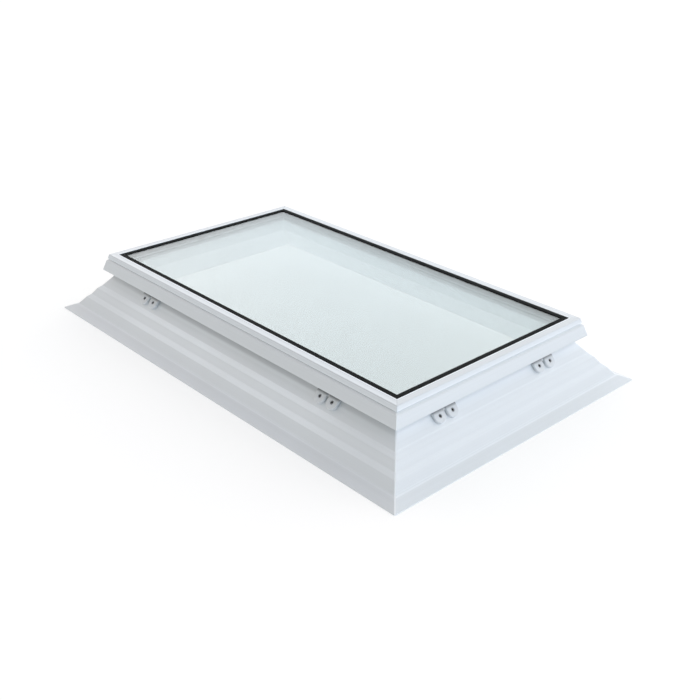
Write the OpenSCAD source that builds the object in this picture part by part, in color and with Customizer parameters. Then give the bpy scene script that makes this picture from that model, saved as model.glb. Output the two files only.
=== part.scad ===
// Fixed flat-roof skylight: a double-glazed unit in a white plastic frame, carried by a
// sloping hollow plastic upstand and held down by eight screwed clips.
// X runs along the long side, Y along the short side, Z up. The origin is the middle of
// the face that lies on the roof. Sections are drawn in u and z: u is the distance
// outward from the daylight line, the inner edge of the glazed opening.

/* [Overall] */
// Clear daylight length, between the inner faces of the neck
daylight_l = 1300; // [700:10:2000]
// Clear daylight width, between the inner faces of the neck
daylight_w = 700; // [500:10:1200]
// Height of the upstand, from the roof to the top of its neck
upstand_h = 160; // [130:1:300]

/* [Upstand] */
// How far the roof opening is larger than the daylight, on each side
splay = 100; // [60:1:140]
// Height of the upright neck, measured on the inside
neck_h = 48; // [42:1:60]
// Thickness of the neck
neck_t = 20; // [16:0.5:24]
// Thickness of the sloping wall, square to its face
wall_t = 25; // [20:0.5:40]
// Width of the flat foot that lies on the roof
foot_w = 54; // [40:1:90]
// Height of the foot where the sloping wall runs out into it
foot_h = 19.5; // [14:0.5:26]
// Thickness of the flange at its tip
tip_t = 3; // [2:0.5:6]
// Thickness of the outer skins and of the webs inside
skin = 3; // [2:0.25:4]
// Width of each bonding ridge that runs along the sloping face
ridge_w = 17; // [8:0.5:24]
// How far a ridge tips outward over its width
ridge_rise = 2.5; // [0.5:0.1:4]

/* [Frame] */
// Thickness of the sealing strip between upstand and frame
seal_t = 3; // [2:0.5:6]
// Width of the sealing strip between upstand and frame
seal_w = 12; // [8:0.5:14]
// Depth of the ledge under the glass
seat_h = 7; // [6:0.5:12]
// Gap all round between the glass edge and the frame
glass_gap = 4; // [3:0.5:6]
// Thickness of the frame's walls
frame_wall = 2.2; // [1.8:0.1:2.6]
// Height of the slot that shows between cap and frame
joint_h = 2.5; // [1:0.5:4]
// Reach of the skirt's top edge past the cap's lower edge
shoulder_out = 3.6; // [2:0.1:8]
// Height from the top of the frame down to the skirt's top edge
shoulder_drop = 4.6; // [3:0.1:8]
// Height of the slanting skirt
skirt_h = 33.2; // [26:0.2:38]
// How far the skirt slants outward on its way down
skirt_out = 10.9; // [6:0.1:20]
// Length of the clip rail that hangs under the frame
rail_h = 13; // [10:0.5:15]
// Gap between the neck and the free edge of the rail's lip
rail_gap = 6; // [5:0.5:8]
// Width of the rail's lip
rail_lip = 3.5; // [2:0.5:5]

/* [Cap] */
// Distance of the cap's inner edge outside the daylight line
cap_set = 3; // [0:0.5:6]
// Width of the cap's top face
cap_w = 26; // [22:0.5:40]
// Height of the cap
cap_h = 15.5; // [13:0.5:20]
// How far the cap's outer face slants outward on its way down
cap_out = 4.5; // [0:0.5:8]
// Thickness of the lip that holds the gasket
lip_t = 2; // [1.5:0.1:3]
// Length of the leg that snaps into the frame
leg_h = 6; // [5:0.5:8]
// Width of the barb on that leg
leg_barb = 1.5; // [0.8:0.1:2]
// Height of the raised edge along the cap's inner side
bead_h = 0.6; // [0.2:0.1:1]
// Width of that raised edge
bead_w = 6; // [3:0.5:10]

/* [Glass] */
// Thickness of the outer pane
outer_t = 6; // [4:0.5:10]
// Thickness of the inner pane
inner_t = 4; // [3:0.5:8]
// Space between the panes
cavity = 14; // [10:1:20]
// How far the glass runs under the cap
glass_cover = 8; // [6:0.5:12]
// Width of the spacer bar
spacer_w = 7; // [5:0.5:9]
// Wall of the hollow spacer bar
spacer_wall = 1; // [0.5:0.1:1.5]
// Width of the edge seal outside the spacer bar
edge_seal_w = 15; // [10:0.5:18]
// Thickness of the tape under the glass
tape_t = 3; // [2:0.5:5]
// Width of the tape under the glass
tape_w = 8; // [5:0.5:10]
// Distance of the tape outside the daylight line
tape_set = 1; // [0.5:0.5:3]
// Width of the gasket that shows beside the cap
gasket_w = 9; // [5:0.5:14]
// Height of the gasket above the glass
gasket_h = 2.4; // [1.5:0.1:3]
// How far the gasket runs under the cap's lip
gasket_tail = 5; // [2:0.5:6]
// Thickness of the gasket under the cap's lip
gasket_tail_t = 1; // [0.8:0.1:1.4]
// Length of each setting block at the glass edge
block_l = 80; // [40:5:120]
// Height of each setting block
block_h = 18; // [10:1:24]

/* [Clips] */
// Distance from the daylight corner to each clip on the long sides
clip_inset_long = 221; // [120:1:300]
// Distance from the daylight corner to each clip on the short sides
clip_inset_short = 144; // [100:1:200]
// Distance between a clip's two screws
lobe_pitch = 48; // [44:0.5:70]
// Radius of each round lobe
lobe_r = 20; // [14:0.5:21]
// Distance from the neck down the slope to the screws
lobe_s = 21; // [20.5:0.5:26]
// Thickness of a lobe
lobe_t = 9; // [7:0.5:12]
// Radius of the rounded rim of a lobe
lobe_edge = 3; // [1:0.25:4]
// Height of the strip that joins the lobes
bridge_w = 11; // [8:0.5:16]
// Width of each hook finger
finger_w = 16; // [10:0.5:24]
// Thickness of a hook finger
finger_t = 3; // [2:0.25:3.5]
// Gap between a hook finger and the neck
finger_gap = 1; // [0.5:0.25:1.5]
// Thickness of the strip that joins the lobes
bridge_t = 6; // [4:0.5:9]
// Diameter of the screws
screw_d = 4.8; // [3.5:0.1:6]
// Length of the screws under the head
screw_l = 20; // [14:0.5:24]
// Diameter of the screw heads
head_d = 9.5; // [8:0.1:12]
// Height of the screw heads
head_h = 2.8; // [2:0.1:3.5]
// Depth of the round recess that takes a screw head
recess_h = 3.6; // [2:0.1:4]
// Clearance between parts that slide into each other
fit = 0.3; // [0.2:0.05:0.6]

/* [Hidden] */
$fn = 64;

// Sides of the rectangle, counted anticlockwise from the front
FRONT = 0;
RIGHT = 1;
BACK = 2;
LEFT = 3;
// Flat strips that stand for each rounded edge of a section
edge_steps = 3;
// How far a cut runs past the face it opens
past = 1;

// Heights, from the roof up
shoulder_z = upstand_h - neck_h;
frame_z = upstand_h + seal_t;
seat_z = frame_z + seat_h;
glass_z = seat_z + tape_t;
cavity_z = glass_z + inner_t;
outer_z = cavity_z + cavity;
glass_top = outer_z + outer_t;
lip_z = glass_top + gasket_tail_t;
cap_top = lip_z + lip_t;
cap_edge_z = cap_top - bead_h;
cap_z = cap_top - cap_h;
frame_top = cap_z - joint_h;
skirt_top = frame_top - shoulder_drop;
skirt_z = skirt_top - skirt_h;

// Distances outward from the daylight line
glass_u = cap_set + glass_cover;
rebate_u = glass_u + glass_gap;
spacer_u = glass_u - edge_seal_w;
cap_edge_u = cap_set + cap_w;
cap_foot_u = cap_edge_u + cap_out;
shoulder_u = cap_foot_u + shoulder_out;
skirt_u = shoulder_u + skirt_out;
tip_u = splay + foot_w;

// The cap's and the skirt's outer faces: their distance u at the height z
function cap_at(z) = cap_edge_u + cap_out * (cap_edge_z - z) / (cap_edge_z - cap_z);
function skirt_at(z) = shoulder_u + skirt_out * (skirt_top - z) / skirt_h;
skirt_wall = frame_wall * norm([skirt_h, skirt_out]) / skirt_h;

// The sloping wall: s runs down it from the inner shoulder, n stands square out of it
slope = atan2(shoulder_z, splay);
shoulder = [0, shoulder_z];
down = [cos(slope), -sin(slope)];
out = [sin(slope), cos(slope)];
function wall_point(s, n) = shoulder + s * down + n * out;
function wall_s(p) = (p - shoulder) * down;
// Height of the line of constant n at the distance u, and the other way round
function wall_z(n, u) = shoulder_z + (n - u * out[0]) / out[1];
function wall_u(n, z) = (n - (z - shoulder_z) * out[1]) / out[0];
// Height of the line of constant s at the distance u
function web_z(s, u) = shoulder_z + (s - u * down[0]) / down[1];

neck_foot = [neck_t, wall_z(wall_t, neck_t)];
wall_foot = [wall_u(wall_t, foot_h), foot_h];
face_s = wall_s(neck_foot);
face_l = wall_s(wall_foot) - face_s;
// Middles of the two ridges, as parts of the sloping face
ridge_at = [0.42, 0.72];
// The face as [s, n] points: each ridge starts half its rise in and ends half its rise out
face_line = [
    [face_s, wall_t],
    for (part = ridge_at)
        for (end = [-1, 1])
            [face_s + face_l * part + end * ridge_w / 2, wall_t + end * ridge_rise / 2],
    [face_s + face_l, wall_t]
];
function wall_n(s) = lookup(s, face_line);
// Middles of the webs that cross the wall
web_s = [
    skin / 2,
    for (i = [1:len(face_line) - 2]) face_line[i][0],
    face_s + face_l - foot_h * 0.6
];

// The flat of the face above the first ridge, on which the clips sit
clip_from = wall_point(face_line[0][0], face_line[0][1]);
clip_to = wall_point(face_line[1][0], face_line[1][1]);
clip_down = (clip_to - clip_from) / norm(clip_to - clip_from);
clip_slope = atan2(-clip_down[1], clip_down[0]);
function clip_point(s, n) = clip_from + s * clip_down + n * [-clip_down[1], clip_down[0]];
// Distance from the neck down the slope to the edge of a clip
clip_s = 1;

// Clip rail under the frame, and the hook that holds it
lip_u = neck_t + rail_gap;
rail_u = lip_u + rail_lip;
rail_z = frame_z - rail_h;
finger_u = neck_t + finger_gap;
hook_u = rail_u - finger_gap;
hook_z = rail_z + frame_wall + fit;
hook_top = hook_z + finger_t;

// Leg of the cap, and the groove of the frame that takes it
groove_u = rebate_u + 2 * frame_wall;
leg_u = groove_u + fit;
mouth_w = frame_wall + 2 * fit;
mouth_z = frame_top - frame_wall;
leg_z = frame_top - leg_h;
groove_z = leg_z - fit;

// Ends of the plane in which the corners are mitred, measured like u
mitre_in = -20;
mitre_out = tip_u + 10;

function unit(v) = v / norm(v);
// The corner p between a and b, rounded with radius r
function rounded_corner(a, p, b, r) =
    let (
        to_a = unit(a - p),
        to_b = unit(b - p),
        half = acos(to_a * to_b) / 2,
        middle = p + unit(to_a + to_b) * r / sin(half),
        first = p + to_a * r / tan(half) - middle,
        last = p + to_b * r / tan(half) - middle
    )
    [for (i = [0:edge_steps]) middle + r * unit(first + (last - first) * i / edge_steps)];
// An outline of [u, z, radius] points, with each corner rounded by its radius
function softened(outline) =
    let (count = len(outline), flat = [for (p = outline) [p[0], p[1]]])
    [
        for (i = [0:count - 1])
            each outline[i][2] == 0
                ? [flat[i]]
                : rounded_corner(
                    flat[(i + count - 1) % count],
                    flat[i],
                    flat[(i + 1) % count],
                    outline[i][2]
                )
    ];
// The inner corner of a bent wall whose outer corner is p
function inner_corner(p, normal_a, normal_b, thickness) =
    p - thickness * (normal_a + normal_b) / (1 + normal_a * normal_b);
// The outward normal of a face that runs from a to b, away from the daylight
function face_normal(a, b) = unit([a[1] - b[1], b[0] - a[0]]);

// Half of a side's daylight length, and the distance of that side from the middle
function half_length(side) = (side % 2 == 0 ? daylight_l : daylight_w) / 2;
function side_offset(side) = (side % 2 == 0 ? daylight_w : daylight_l) / 2;
function clip_place(side) =
    half_length(side) - (side % 2 == 0 ? clip_inset_long : clip_inset_short);

// Puts a child drawn for the back side, with u along +Y, on the given side
module on_side(side) {
    rotate([0, 0, (side - BACK) * 90])
        translate([0, side_offset(side), 0])
            children();
}

// A straight length along X with the section of its child, u along +Y
module length_of(l) {
    rotate([90, 0, 90])
        linear_extrude(l, center = true)
            children();
}

// A length of profile on the given side, mitred at both corners
module mitred(side) {
    half = half_length(side);
    on_side(side)
        intersection() {
            length_of(2 * (half + mitre_out))
                children();
            translate([0, 0, -past])
                linear_extrude(cap_top + 2 * past)
                    polygon([
                        [-half - mitre_in, mitre_in],
                        [half + mitre_in, mitre_in],
                        [half + mitre_out, mitre_out],
                        [-half - mitre_out, mitre_out]
                    ]);
        }
}

// A flat ring between the distances u_in and u_out, from z up by h
module ring(u_in, u_out, z, h) {
    translate([0, 0, z])
        linear_extrude(h)
            difference() {
                square([daylight_l + 2 * u_out, daylight_w + 2 * u_out], center = true);
                square([daylight_l + 2 * u_in, daylight_w + 2 * u_in], center = true);
            }
}

// A pane that fills the glass size, from z up by h
module pane(z, h) {
    translate([0, 0, z])
        linear_extrude(h)
            square([daylight_l + 2 * glass_u, daylight_w + 2 * glass_u], center = true);
}

// Puts a child at a clip: x along the side, y down the slope, z square out of the face
module at_clip(side, end) {
    on_side(side)
        translate([end * clip_place(side), clip_from[0], clip_from[1]])
            rotate([-clip_slope, 0, 0])
                children();
}

// Puts a child at both screw places of a clip
module at_lobes() {
    for (hand = [-1, 1])
        translate([hand * lobe_pitch / 2, lobe_s, 0])
            children();
}

// Hollow upstand: upright neck, ridged sloping wall and flat foot
module upstand_outline() {
    polygon(softened([
        [0, shoulder_z, 0],
        [0, upstand_h, 0.6],
        [neck_t, upstand_h, 0.6],
        for (k = face_line)
            let (p = wall_point(k[0], k[1]))
            [p[0], p[1], k == face_line[0] ? 1 : 3],
        [tip_u, tip_t, 1],
        [tip_u, 0, 0],
        [splay, 0, 0]
    ]));
}

module neck_chamber() {
    foot_s = web_s[0] - skin / 2;
    polygon([
        [skin, web_z(foot_s, skin)],
        [neck_t - skin, web_z(foot_s, neck_t - skin)],
        [neck_t - skin, upstand_h - skin],
        [skin, upstand_h - skin]
    ]);
}

module wall_chambers() {
    for (i = [0:len(web_s) - 2]) {
        s0 = web_s[i] + skin / 2;
        s1 = web_s[i + 1] - skin / 2;
        polygon([
            wall_point(s0, skin),
            wall_point(s1, skin),
            wall_point(s1, wall_n(s1) - skin),
            wall_point(s0, wall_n(s0) - skin)
        ]);
    }
}

module foot_chamber() {
    s = web_s[len(web_s) - 1] + skin / 2;
    tip = [tip_u, tip_t];
    heel = inner_corner(wall_foot, out, face_normal(wall_foot, tip), skin);
    // Where the flange's inner face meets the sole's
    toe_u = heel[0] + (heel[1] - skin) * (tip[0] - wall_foot[0]) / (wall_foot[1] - tip[1]);
    polygon([
        wall_point(s, skin),
        [wall_u(skin, skin), skin],
        [toe_u, skin],
        heel,
        wall_point(s, wall_n(s) - skin)
    ]);
}

module upstand(side) {
    color("whitesmoke")
        difference() {
            mitred(side)
                difference() {
                    upstand_outline();
                    neck_chamber();
                    wall_chambers();
                    foot_chamber();
                }
            for (end = [-1, 1])
                at_clip(side, end)
                    at_lobes()
                        translate([0, 0, -2 * skin])
                            cylinder(d = screw_d + fit, h = 3 * skin);
        }
}

// Hollow glazing frame: glass ledge, cap groove, slanting skirt and clip rail
module frame_outline() {
    polygon(softened([
        [0, frame_z, 0.6],
        [0, seat_z, 1],
        [rebate_u, seat_z, 0],
        [rebate_u, cap_z, 0],
        [rebate_u + frame_wall, cap_z, 0],
        [rebate_u + frame_wall, frame_top, 0],
        [cap_foot_u - joint_h, frame_top, 1],
        [shoulder_u, skirt_top, 1],
        [skirt_u, skirt_z, 0.8],
        [skirt_u - skirt_wall, skirt_z, 0.8],
        [skirt_at(frame_z) - skirt_wall, frame_z, 0],
        [rail_u + frame_wall, frame_z, 0],
        [rail_u + frame_wall, rail_z, 0.6],
        [lip_u, rail_z, 0.6],
        [lip_u, rail_z + frame_wall, 0.6],
        [rail_u, rail_z + frame_wall, 0],
        [rail_u, frame_z, 0]
    ]));
}

module ledge_chamber() {
    translate([frame_wall, frame_z + frame_wall])
        square([rebate_u - frame_wall, seat_h - 2 * frame_wall]);
}

module body_chamber() {
    low = frame_z + frame_wall;
    high = groove_z - frame_wall;
    polygon([
        [rebate_u + frame_wall, low],
        [skirt_at(low) - skirt_wall, low],
        [skirt_at(high) - skirt_wall, high],
        [rebate_u + frame_wall, high]
    ]);
}

module shoulder_chamber() {
    side_u = groove_u + mouth_w + leg_barb + frame_wall;
    ledge = [cap_foot_u - joint_h, frame_top];
    knee = [shoulder_u, skirt_top];
    slant = face_normal(ledge, knee);
    polygon([
        [side_u, groove_z],
        [skirt_at(groove_z) - skirt_wall, groove_z],
        inner_corner(knee, slant, face_normal(knee, [skirt_u, skirt_z]), frame_wall),
        inner_corner(ledge, [0, 1], slant, frame_wall),
        [side_u, mouth_z]
    ]);
}

module cap_groove() {
    translate([groove_u, mouth_z - past])
        square([mouth_w, frame_wall + 2 * past]);
    translate([groove_u, groove_z])
        square([mouth_w + leg_barb, mouth_z - groove_z]);
}

module frame(side) {
    color("whitesmoke")
        mitred(side)
            difference() {
                frame_outline();
                ledge_chamber();
                body_chamber();
                shoulder_chamber();
                cap_groove();
            }
}

// Hollow cap that holds the glass down, with a barbed leg that snaps into the frame
module cap_outline() {
    barb_top = mouth_z - fit;
    polygon(softened([
        [cap_set, lip_z, 0],
        [cap_set, cap_top, 0.6],
        [cap_set + bead_w, cap_top, 0],
        [cap_set + bead_w + 2 * bead_h, cap_edge_z, 0],
        [cap_edge_u, cap_edge_z, 1.5],
        [cap_foot_u, cap_z, 0.8],
        [leg_u + frame_wall, cap_z, 0],
        [leg_u + frame_wall, barb_top, 0],
        [leg_u + frame_wall + leg_barb, barb_top, 0],
        [leg_u + frame_wall, leg_z, 0],
        [leg_u, leg_z, 0],
        [leg_u, cap_z, 0],
        [rebate_u, cap_z, 0],
        [rebate_u, lip_z, 0]
    ]));
}

module cap_chamber() {
    low = cap_z + frame_wall;
    high = cap_edge_z - frame_wall;
    polygon([
        [rebate_u + frame_wall, low],
        [cap_at(low) - frame_wall, low],
        [cap_at(high) - frame_wall, high],
        [rebate_u + frame_wall, high]
    ]);
}

module cap(side) {
    color("white")
        mitred(side)
            difference() {
                cap_outline();
                cap_chamber();
            }
}

// Sealed double-glazing unit
module outer_pane() {
    color("lightcyan", 0.4)
        pane(outer_z, outer_t);
}

module inner_pane() {
    color("lightcyan", 0.4)
        pane(glass_z, inner_t);
}

// Folded spacer channel, open towards the edge seal
module spacer() {
    color("silver")
        difference() {
            ring(spacer_u - spacer_w, spacer_u, cavity_z, cavity);
            ring(
                spacer_u - spacer_w + spacer_wall,
                spacer_u + past,
                cavity_z + spacer_wall,
                cavity - 2 * spacer_wall
            );
        }
}

module edge_seal() {
    color("dimgray")
        ring(spacer_u, glass_u, cavity_z, cavity);
}

// Soft strips: gasket beside the cap, tape under the glass, seal under the frame
module gasket_outline() {
    inner_u = cap_set - gasket_w;
    polygon(softened([
        [inner_u, glass_top, 0],
        [inner_u, glass_top + gasket_h / 3, 0.4],
        [inner_u + gasket_h, glass_top + gasket_h, 0.8],
        [cap_set, glass_top + gasket_h, 0],
        [cap_set, lip_z, 0],
        [cap_set + gasket_tail, lip_z, 0],
        [cap_set + gasket_tail, glass_top, 0]
    ]));
}

module glazing_gasket() {
    color("black")
        for (side = [FRONT:LEFT])
            mitred(side)
                gasket_outline();
}

module glazing_tape() {
    color("dimgray")
        ring(tape_set, tape_set + tape_w, seat_z, tape_t);
}

module upstand_seal() {
    color("dimgray")
        ring((neck_t - seal_w) / 2, (neck_t + seal_w) / 2, upstand_h, seal_t);
}

// Blocks that centre the glass: two on each long side, one on each short side
module setting_blocks() {
    color("darkslategray")
        for (side = [FRONT:LEFT])
            for (place = side % 2 == 0 ? [-0.5, 0.5] : [0])
                on_side(side)
                    translate([place * half_length(side), glass_u + glass_gap / 2, seat_z + block_h / 2])
                        cube([block_l, glass_gap, block_h], center = true);
}

// Moulded clip: two round lobes screwed to the slope, each with a finger that hooks the rail
module lobe_profile() {
    square([lobe_r, lobe_t - lobe_edge]);
    square([lobe_r - lobe_edge, lobe_t]);
    translate([lobe_r - lobe_edge, lobe_t - lobe_edge])
        circle(lobe_edge);
}

module lobe() {
    rotate_extrude()
        intersection() {
            lobe_profile();
            square([lobe_r, lobe_t]);
        }
    rotate([90, 0, 0])
        linear_extrude(lobe_s - clip_s)
            for (hand = [0, 1])
                mirror([hand, 0])
                    lobe_profile();
}

module hook_finger() {
    heel = clip_point(clip_s, 0);
    toe = clip_point(clip_s + 2 * finger_t, 0);
    length_of(finger_w)
        polygon([
            heel,
            toe,
            [finger_u + finger_t, hook_z],
            [hook_u, hook_z],
            [hook_u, hook_top - finger_t / 3],
            [hook_u - finger_t / 3, hook_top],
            [finger_u, hook_top],
            [finger_u, heel[1] + finger_gap]
        ]);
}

module clip(side, end) {
    color("gainsboro") {
        difference() {
            at_clip(side, end) {
                at_lobes()
                    lobe();
                translate([-lobe_pitch / 2, clip_s, 0])
                    cube([lobe_pitch, bridge_w, bridge_t]);
            }
            at_clip(side, end)
                at_lobes() {
                    translate([0, 0, -past])
                        cylinder(d = screw_d + 2 * fit, h = lobe_t + 2 * past);
                    translate([0, 0, lobe_t - recess_h])
                        cylinder(d = head_d + 6 * fit, h = recess_h + past);
                }
        }
        on_side(side)
            for (hand = [-1, 1])
                translate([end * clip_place(side) + hand * lobe_pitch / 2, 0, 0])
                    hook_finger();
    }
}

// Pan-head screw with a six-sided socket; z = 0 is the seat of its head
module screw() {
    socket_d = head_d / 2;
    rim_h = head_h * 0.45;
    difference() {
        union() {
            cylinder(d = head_d, h = head_h - rim_h);
            translate([0, 0, head_h - rim_h])
                cylinder(d1 = head_d, d2 = head_d - 2 * rim_h, h = rim_h);
        }
        translate([0, 0, head_h * 0.4])
            cylinder(d = socket_d, h = head_h, $fn = 6);
    }
    translate([0, 0, screw_d - screw_l])
        cylinder(d = screw_d, h = screw_l - screw_d);
    translate([0, 0, -screw_l])
        cylinder(d1 = screw_d / 6, d2 = screw_d, h = screw_d);
}

module clip_screws() {
    color("silver")
        for (side = [FRONT:LEFT])
            for (end = [-1, 1])
                at_clip(side, end)
                    at_lobes()
                        translate([0, 0, lobe_t - recess_h])
                            screw();
}

upstand(FRONT);  // upstand_front
upstand(RIGHT);  // upstand_right
upstand(BACK);  // upstand_back
upstand(LEFT);  // upstand_left
frame(FRONT);  // frame_front
frame(RIGHT);  // frame_right
frame(BACK);  // frame_back
frame(LEFT);  // frame_left
cap(FRONT);  // cap_front
cap(RIGHT);  // cap_right
cap(BACK);  // cap_back
cap(LEFT);  // cap_left
outer_pane();
inner_pane();
spacer();
edge_seal();
glazing_gasket();
glazing_tape();
upstand_seal();
setting_blocks();
clip(FRONT, 1);  // clip_front_left
clip(FRONT, -1);  // clip_front_right
clip(RIGHT, 1);  // clip_right_front
clip(RIGHT, -1);  // clip_right_back
clip(BACK, 1);  // clip_back_right
clip(BACK, -1);  // clip_back_left
clip(LEFT, 1);  // clip_left_back
clip(LEFT, -1);  // clip_left_front
clip_screws();
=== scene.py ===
import math

import bmesh
import bpy
import numpy as np
from mathutils import Matrix, Vector


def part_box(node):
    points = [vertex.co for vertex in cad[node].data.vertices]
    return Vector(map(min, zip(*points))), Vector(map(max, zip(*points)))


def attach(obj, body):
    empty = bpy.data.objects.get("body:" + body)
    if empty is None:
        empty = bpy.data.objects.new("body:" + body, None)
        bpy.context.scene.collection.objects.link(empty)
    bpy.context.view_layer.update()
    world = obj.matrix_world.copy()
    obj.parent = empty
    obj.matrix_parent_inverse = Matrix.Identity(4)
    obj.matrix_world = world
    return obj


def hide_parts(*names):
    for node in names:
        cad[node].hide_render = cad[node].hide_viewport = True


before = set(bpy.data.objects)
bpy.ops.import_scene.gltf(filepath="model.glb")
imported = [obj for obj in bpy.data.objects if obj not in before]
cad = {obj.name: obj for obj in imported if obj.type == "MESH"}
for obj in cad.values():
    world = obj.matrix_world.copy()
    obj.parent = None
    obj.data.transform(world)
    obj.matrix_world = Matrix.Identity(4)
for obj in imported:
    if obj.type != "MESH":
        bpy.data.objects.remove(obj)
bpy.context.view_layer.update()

# --- Upstand ---
# A sloping ring that lifts the window off the roof. It is made of four hollow extrusions of
# white unplasticised PVC, sawn to a mitre, butt-welded and trimmed at the corners.

# The daylight line: half the clear length and half the clear width of the opening
half_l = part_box("upstand_right")[0].x
half_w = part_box("upstand_back")[0].y
# Points closer than this are one point, and faces within this angle lie in one plane
same_point = 1e-6
same_plane = math.radians(0.5)
# Quarter turns that carry a piece from the back to each side
SIDES = {"back": 0, "left": 1, "front": 2, "right": 3}

upstand_corner = 0.0038
upstand_white = (0.715, 0.75, 0.772)
# The welds are buffed whiter after trimming, and this white also paints a highlight along the
# corners
buffed_weld_highlight_white = (0.93, 0.955, 0.97)
weld_groove = 0.00012
# A corner turns from 0 degrees at the side to 45 at the mitre, and its last ring before the weld
# line stands at this angle
beside_weld = 37
dust_grey = (0.62, 0.60, 0.56)
# How bright the face is against plain plastic, on the long and on the short sides. Each pair is a
# place on the section, its u less its height, and a factor. The factors are painted light and shade:
# painted highlights on the ridges and the bend at the foot, painted shadow under the skirt on the
# long sides, and painted light under the skirt on the short sides.
upstand_light_and_shade = (
    (
        (-0.1070, 0.92), (-0.0920, 0.83), (-0.0845, 0.87), (-0.0780, 1.06), (-0.0725, 1.11),
        (-0.0645, 1.01), (-0.0349, 1.01), (-0.0333, 1.27), (-0.0098, 1.24), (-0.0082, 1.06),
        (0.0264, 1.06), (0.0280, 1.21), (0.0508, 1.22), (0.0524, 1.02), (0.0920, 1.01),
        (0.0970, 1.06), (0.1030, 1.08), (0.1060, 0.99), (0.1550, 0.98),
    ),
    (
        (-0.1070, 1.10), (-0.0960, 1.14), (-0.0870, 1.18), (-0.0700, 1.12), (-0.0600, 1.04),
        (-0.0420, 1.02), (-0.0333, 1.10), (-0.0120, 1.10), (-0.0060, 1.00), (0.0264, 1.00),
        (0.0290, 1.07), (0.0430, 1.12), (0.0510, 1.08), (0.0580, 1.00), (0.0900, 0.98),
        (0.0970, 1.06), (0.1000, 1.22), (0.1040, 1.20), (0.1065, 1.06), (0.1550, 1.03),
    ),
)
# The same for the faces round the opening, by height: painted light that lifts the shaded neck and
# slope, and a painted shadow line at the foot.
opening_light_and_shade = (
    (0.0000, 0.86), (0.0040, 0.90), (0.0065, 1.10), (0.1050, 1.10), (0.1180, 1.23),
    (0.1600, 1.23),
)
# A point lies in the outer skin if it is further out than this, at the neck and on the slope
neck_middle = 0.010
slope_middle = 0.117
slope_ratio = 0.893
# The painted light and shade of the long sides fades between these distances from the weld, to a
# share of its strength and an even tone
plain_end = 0.06
toned_from = 0.40
end_strength = 0.5
end_tone = 0.465


def add(tree, kind, inputs=None, **settings):
    """A new node. Its inputs, by name or number, are fed by sockets or set to values."""
    made = tree.nodes.new(kind)
    for name, value in settings.items():
        setattr(made, name, value)
    for key, value in (inputs or {}).items():
        if isinstance(value, bpy.types.NodeSocket):
            tree.links.new(value, made.inputs[key])
        else:
            made.inputs[key].default_value = value
    return made


def calc(tree, operation, *values):
    """What a Math node makes of the values."""
    return add(tree, "ShaderNodeMath", dict(enumerate(values)), operation=operation).outputs[0]


def vector_calc(tree, operation, *values):
    """What a Vector Math node makes of the values."""
    node = add(tree, "ShaderNodeVectorMath", dict(enumerate(values)), operation=operation)
    return node.outputs[0]


def vector(tree, x=0.0, y=0.0, z=0.0):
    """A vector of three sockets or numbers."""
    return add(tree, "ShaderNodeCombineXYZ", {"X": x, "Y": y, "Z": z}).outputs[0]


def split(tree, value):
    """The X, Y and Z of a vector."""
    return add(tree, "ShaderNodeSeparateXYZ", {0: value}).outputs


def new_group(name, kind, inputs, outputs):
    """A node group with named sockets: the group, its input sockets and its output sockets."""
    group = bpy.data.node_groups.new(name, kind)
    for direction, sockets in (("INPUT", inputs), ("OUTPUT", outputs)):
        for label, form in sockets.items():
            group.interface.new_socket(label, in_out=direction, socket_type="NodeSocket" + form)
    return group, add(group, "NodeGroupInput").outputs, add(group, "NodeGroupOutput").inputs


def joined_up(mesh):
    """What a mesh holds, in bmesh, with the points that lie together made one."""
    solid = bmesh.new()
    solid.from_mesh(mesh)
    bmesh.ops.remove_doubles(solid, verts=solid.verts, dist=same_point)
    return solid


def mesh_of(solid, name):
    """A mesh of what was built in bmesh."""
    mesh = bpy.data.meshes.new(name)
    solid.to_mesh(mesh)
    solid.free()
    return mesh


def section_of(node):
    """The section of a piece that runs along X, as loose loops with u in Y and height in Z.
    u is the distance outward from the daylight line."""
    cut = joined_up(cad[node].data)
    bmesh.ops.bisect_plane(
        cut,
        geom=cut.verts[:] + cut.edges[:] + cut.faces[:],
        plane_co=(0, 0, 0),
        plane_no=(1, 0, 0),
        clear_inner=True,
        clear_outer=True,
    )
    front = [v for v in cut.verts if v.co.y < 0]
    bmesh.ops.delete(cut, geom=front, context="VERTS")
    bmesh.ops.dissolve_limit(cut, angle_limit=same_plane, verts=cut.verts, edges=cut.edges)
    bmesh.ops.translate(cut, verts=cut.verts, vec=(0, -half_w, 0))
    return mesh_of(cut, node + "_section")


def point_place(tree):
    """Where each point lies."""
    return add(tree, "GeometryNodeInputPosition").outputs[0]


def held(tree, name):
    """The vector that each point holds under a name."""
    return add(
        tree, "GeometryNodeInputNamedAttribute", {"Name": name}, data_type="FLOAT_VECTOR"
    ).outputs["Attribute"]


def hold(tree, geometry, name, value, form="FLOAT_VECTOR"):
    """The geometry, with a value held by each point under a name."""
    return add(
        tree,
        "GeometryNodeStoreNamedAttribute",
        {"Geometry": geometry, "Name": name, "Value": value},
        data_type=form,
        domain="POINT",
    ).outputs[0]


def moved(tree, geometry, place):
    """The geometry, with each point moved to a place."""
    return add(
        tree, "GeometryNodeSetPosition", {"Geometry": geometry, "Position": place}
    ).outputs[0]


def end_tree(tree, geometry, given, made):
    """Makes the geometry real, gives it the finish and puts it out."""
    real = add(tree, "GeometryNodeRealizeInstances", {0: geometry}).outputs[0]
    painted = add(
        tree, "GeometryNodeSetMaterial", {"Geometry": real, "Material": given["Finish"]}
    )
    tree.links.new(painted.outputs[0], made[0])
    return tree


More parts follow.
